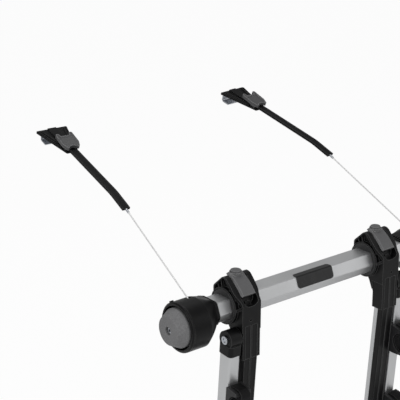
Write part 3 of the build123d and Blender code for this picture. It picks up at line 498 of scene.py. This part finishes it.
# %% The plastics and the rubber of this rack
# Where an edge strength is given, it sets how far the edges get their painted highlight, which also
# stands for rubbing
black_nylon = moulded("black_glass_filled_nylon", "#060607", 0.46, gloss=0.18, rounding=2)
housing_nylon = moulded("satin_black_nylon", "#050506", 0.36, gloss=0.16)
hook_nylon = moulded("ribbed_black_nylon", "#050506", 0.5, gloss=0.12, rounding=0.8, wear_and_highlight=0.5)
lever_nylon = moulded("grey_nylon", "#575758", 0.5, rounding=3, wear_and_highlight=0.8)
clip_nylon = moulded("mid_grey_nylon", "#454546", 0.42, rounding=2.8, wear_and_highlight=1)
knob_nylon = moulded("speckled_grey_nylon", "#6a6a6b", 0.55, grain=3, depth=0.12, speckled=True)
dark_nylon = moulded("dark_grey_nylon", "#222223", 0.5)
gloss_plate = moulded("black_acrylic_plate", "#101011", 0.3, grain=2, depth=0.01)
rubber = moulded("black_rubber", "#0b0b0c", 0.62, grain=0.8, gloss=0.15, rounding=1.2, wear_and_highlight=0.5)
print("made seven nylons, an acrylic and a rubber")

# %% [markdown]
# Steel: zinc-plated fasteners and the wire rope. Zinc looks a little blue and cloudy, because its
# crystals differ in brightness. The rope's thin clear coat scatters light, so it looks paler than
# bare metal.

# %% Zinc-plated steel
ZINC_CLOUDS = 260  # per metre, so the crystals' patches are about 4 mm wide
ZINC_SHEEN = (-0.06, 0.08)  # how far the roughness goes below and above its middle
ZINC_SHADE = 0.82  # how bright the darkest patch is
ZINC_EDGE = 0.3  # edge radius in mm
ZINC_DEPTH = 0.02  # in mm
ZINC_STRENGTH = 0.1


def plated(name, hexcode, rough, metal=1.0):
    """Steel with a cloudy plating; less than fully metal where a coat covers it."""
    material, tree, out = new_material(name)
    place = add(tree, "ShaderNodeTexCoord").outputs["Object"]
    cloud = add(tree, "ShaderNodeTexNoise", {"Scale": ZINC_CLOUDS, "Detail": 3}, {0: place})
    tone = add(
        tree,
        "ShaderNodeMapRange",
        {
            "From Min": NOISE_RANGE[0],
            "From Max": NOISE_RANGE[1],
            "To Min": rough + ZINC_SHEEN[0],
            "To Max": rough + ZINC_SHEEN[1],
        },
        {0: cloud.outputs[0]},
    )
    shade = add(tree, "ShaderNodeValToRGB", links={0: cloud.outputs[0]})
    base = colour(hexcode)
    for element, level in zip(shade.color_ramp.elements, (ZINC_SHADE, 1)):
        element.color = dimmed(base, level)
    _, bump = soft_edges(tree, ZINC_EDGE, cloud.outputs[0], ZINC_STRENGTH, ZINC_DEPTH)
    surface = add(
        tree,
        "ShaderNodeBsdfPrincipled",
        {"Metallic": metal},
        {
            "Base Color": shade.outputs[0],
            "Roughness": tone.outputs[0],
            "Normal": bump.outputs[0],
        },
    )
    tree.links.new(surface.outputs[0], out.inputs[0])
    return material


zinc = plated("zinc_plated_steel", "#bcbfc4", 0.32)
rope_steel = plated("coated_galvanised_wire", "#e2e2e2", 0.45, metal=0.35)
for rope in ropes.values():
    rope.data.materials.append(rope_steel)
print("made", zinc.name, "and", rope_steel.name)

# %% [markdown]
# Each CAD piece now gets the finish of its real counterpart. The right and left pieces share one
# row of the table, and what isn't in it is a steel fitting.

# %% Materials on the CAD pieces
finishes = {
    "crossbar_tube": alu_across,
    "lower_crossbar": alu_across,
    "leg": alu_down,
    "bike_arm": alu_down,
    "badge_plate": gloss_plate,
    "angle_collars": dark_nylon,
    "hub_bracket": black_nylon,
    "release_lever": lever_nylon,
    "push_button": lever_nylon,
    "knob": knob_nylon,
    "hook_clip": clip_nylon,
    "leg_cover": black_nylon,
    "lower_bar_caps": black_nylon,
    "leg_clamps": black_nylon,
    "foot_holder": black_nylon,
    "foot_pad": rubber,
    "arm_hub": black_nylon,
    "arm_cap": black_nylon,
    "cradles": dark_nylon,
    "cradle_liners": rubber,
    "cradle_straps": rubber,
    "end_housing": housing_nylon,
    "cable_bushes": dark_nylon,
    "bearing_plates": dark_nylon,
    "drum": dark_nylon,
    "cable_sleeve": rubber,
    "lock_shoe": black_nylon,
    "hook_plate": hook_nylon,
}


def without_side(name):
    """A node's name without its right or left ending."""
    return name.removesuffix("_right").removesuffix("_left")


for name, piece in nodes.items():
    piece.data.materials.clear()
    piece.data.materials.append(finishes.get(without_side(name), zinc))
print("finished", len(nodes), "CAD pieces")

# %% [markdown]
# ## Working on one piece
# Blender's operators act on all that is selected, so each step starts by selecting one piece alone.
# In edit mode the faces or points to change are picked by their place.

# %% Helpers for modelled pieces
BEVEL_STEPS = 2
SMOOTH_UNDER = radians(35)  # edges that turn less than this are shaded smooth


def only(piece):
    """Select one piece alone and make it the active one."""
    bpy.ops.object.select_all(action="DESELECT")
    piece.select_set(True)
    bpy.context.view_layer.objects.active = piece


def own_copy(piece):
    """A copy of a piece with a mesh of its own."""
    twin = piece.copy()
    twin.data = piece.data.copy()
    bpy.context.scene.collection.objects.link(twin)
    return twin


def discard(piece):
    """Remove a model that has been copied, with its mesh."""
    mesh = piece.data
    bpy.data.objects.remove(piece)
    bpy.data.meshes.remove(mesh)


def pick_points(piece, chosen):
    """Enter edit mode with only those points selected that a test on their place accepts."""
    only(piece)
    bpy.ops.object.mode_set(mode="EDIT")
    bpy.ops.mesh.select_mode(type="VERT")
    bpy.ops.mesh.select_all(action="DESELECT")
    bpy.ops.object.mode_set(mode="OBJECT")
    for point in piece.data.vertices:
        point.select = chosen(point.co)
    bpy.ops.object.mode_set(mode="EDIT")


def apply_bevel(piece, width, angle=40):
    """Round a piece's edges that turn by more than an angle, with an applied Bevel modifier."""
    only(piece)
    bevel = piece.modifiers.new("round", "BEVEL")
    bevel.width = width
    bevel.segments = BEVEL_STEPS
    bevel.angle_limit = radians(angle)
    bpy.ops.object.modifier_apply(modifier=bevel.name)


def dress(piece, name, material):
    """Name a modelled piece, apply its place and give it its finish."""
    only(piece)
    piece.name = name
    piece.data.name = name
    bpy.ops.object.transform_apply(location=True, rotation=True, scale=True)
    bpy.ops.object.shade_smooth_by_angle(angle=SMOOTH_UNDER)
    piece.data.materials.clear()
    piece.data.materials.append(material)


# %% [markdown]
# ## Ribs on the housings' shoulder
# Behind its rim each end housing steps up to the barrel, and a row of thin ribs stiffens that step.
# They could be cut from the shoulder, but a moulder adds them to it, so one cube is made a gusset
# by lowering its top edge at the rim's end, and rounded. Copies of it stand along the top and rear
# facets, and they are joined into one piece.

# %% One gusset
RIB_LENGTH = 17 * MM
RIB_THICKNESS = 1.8 * MM
RIB_HEIGHT = 9 * MM
RIB_DROP = 5 * MM  # how much lower the rib is at the rim's end
RIB_ROUND = 0.5 * MM


def gusset(sign):
    """The model of a side's ribs, at the origin."""
    bpy.ops.object.select_all(action="DESELECT")
    bpy.ops.mesh.primitive_cube_add(size=1, scale=(RIB_LENGTH, RIB_THICKNESS, RIB_HEIGHT))
    model = bpy.context.object
    bpy.ops.object.transform_apply(scale=True)
    pick_points(model, lambda co: sign * co.x < 0 and co.z > 0)
    bpy.ops.transform.translate(value=(0, 0, -RIB_DROP))
    bpy.ops.object.mode_set(mode="OBJECT")
    apply_bevel(model, RIB_ROUND)
    return model


# %% A row of gussets on each housing
RIB_X = 261.5 * MM
TOP_RISE = 30 * MM
TOP_PLACES = [y * MM for y in (-14, -8, -2, 4, 10, 16)]
REAR_RISE = 34.2 * MM  # height of those ribs over the bar's axis, square to the facet
REAR_PLACES = [y * MM for y in (-8, -2, 4, 10)]
REAR_LEAN = radians(68)  # how far the rear facet is turned from the top one


def placed_rib(model, sign, place, rise, lean):
    """A copy of the gusset at a place across a facet, with its top at a rise, leaning with it."""
    rib = own_copy(model)
    only(rib)
    rib.location = (sign * RIB_X, place, rise - RIB_HEIGHT / 2)
    bpy.ops.object.transform_apply(location=True)
    rib.rotation_euler = (-lean, 0, 0)
    bpy.ops.object.transform_apply(rotation=True)
    return rib


for side_name, sign in SIGNS.items():
    model = gusset(sign)
    ribs = [placed_rib(model, sign, place, TOP_RISE, 0) for place in TOP_PLACES]
    ribs += [placed_rib(model, sign, place, REAR_RISE, REAR_LEAN) for place in REAR_PLACES]
    discard(model)
    only(ribs[0])
    for rib in ribs:
        rib.select_set(True)
    bpy.ops.object.join()
    dress(ribs[0], "shoulder_ribs_" + side_name, housing_nylon)
    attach(ribs[0], "bar")
    print(ribs[0].name, len(ribs), "ribs")

# %% [markdown]
# ## Ferrules on the cables
# Where the wire rope enters the rubber sleeve, a steel ferrule is crimped round it. It starts as a
# cylinder; bisect adds rings round it, and those that the crimping tool pressed are scaled in. One
# is modelled upright, and each cable gets a copy of it, turned along the rope.

# %% A crimped ferrule
FERRULE_LENGTH = 10 * MM
FERRULE_RADIUS = 2.6 * MM
FERRULE_SIDES = 28
FERRULE_ROUND = 0.4 * MM
RING_SHARES = (-0.3, -0.2, -0.1, 0.1, 0.2, 0.3)  # where the rings are, as shares of the length
PRESSED_SHARES = (-0.2, 0.2)
PRESSED = 0.8  # how wide a pressed ring is left
NEAR = 0.01 * MM
bpy.ops.object.select_all(action="DESELECT")
bpy.ops.mesh.primitive_cylinder_add(
    vertices=FERRULE_SIDES, radius=FERRULE_RADIUS, depth=FERRULE_LENGTH
)
model = bpy.context.object
for share in RING_SHARES:
    pick_points(model, lambda co: True)
    bpy.ops.mesh.bisect(plane_co=(0, 0, share * FERRULE_LENGTH), plane_no=(0, 0, 1))
    bpy.ops.object.mode_set(mode="OBJECT")
for share in PRESSED_SHARES:
    ring = share * FERRULE_LENGTH
    pick_points(model, lambda co: abs(co.z - ring) < NEAR)
    bpy.ops.transform.resize(value=(PRESSED, PRESSED, 1))
    bpy.ops.object.mode_set(mode="OBJECT")
apply_bevel(model, FERRULE_ROUND, angle=60)
print("ferrule", len(model.data.polygons), "faces")

# %% One on each cable
for side_name, sign in SIGNS.items():
    flip = Vector((sign, 1, 1))
    direction = along * flip
    ferrule = own_copy(model)
    ferrule.rotation_euler = direction.to_track_quat("Z", "Y").to_euler()
    ferrule.location = CABLE_END * flip - direction * FERRULE_LENGTH / 2
    dress(ferrule, "ferrule_" + side_name, zinc)
    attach(ferrule, "hook_" + side_name)
    print(ferrule.name, "placed")
discard(model)

# %% [markdown]
# ## Springs under the buttons
# The spring under each button must shorten when the button goes down, which a rigid piece can't do.
# A copy of the CAD spring, merged into one mesh, stands in for it and rides with the lever.

# %% Springs under the buttons
SAME_POINT = 0.001 * MM
COIL_SMOOTH_UNDER = radians(40)
for side_name in SIGNS:
    spring = own_copy(nodes["button_spring_" + side_name])
    spring.name = "coil_spring_" + side_name
    spring.data.name = spring.name
    only(spring)
    bpy.ops.object.mode_set(mode="EDIT")
    bpy.ops.mesh.select_all(action="SELECT")
    bpy.ops.mesh.remove_doubles(threshold=SAME_POINT)
    bpy.ops.object.mode_set(mode="OBJECT")
    bpy.ops.object.shade_smooth_by_angle(angle=COIL_SMOOTH_UNDER)
    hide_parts("button_spring_" + side_name)
    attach(spring, "lever_" + side_name)
    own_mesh(spring)

# %% [markdown]
# ## Boxes of the CAD model and the dressed rack
# The dressed rack may not be larger than the CAD model, so both boxes are kept side by side.

# %% Boxes before and after
def plain(box):
    return [list(corner) for corner in box] if hasattr(box[0], "__len__") else list(box)


{"cad": plain(cad_box), "visual": plain(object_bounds())}
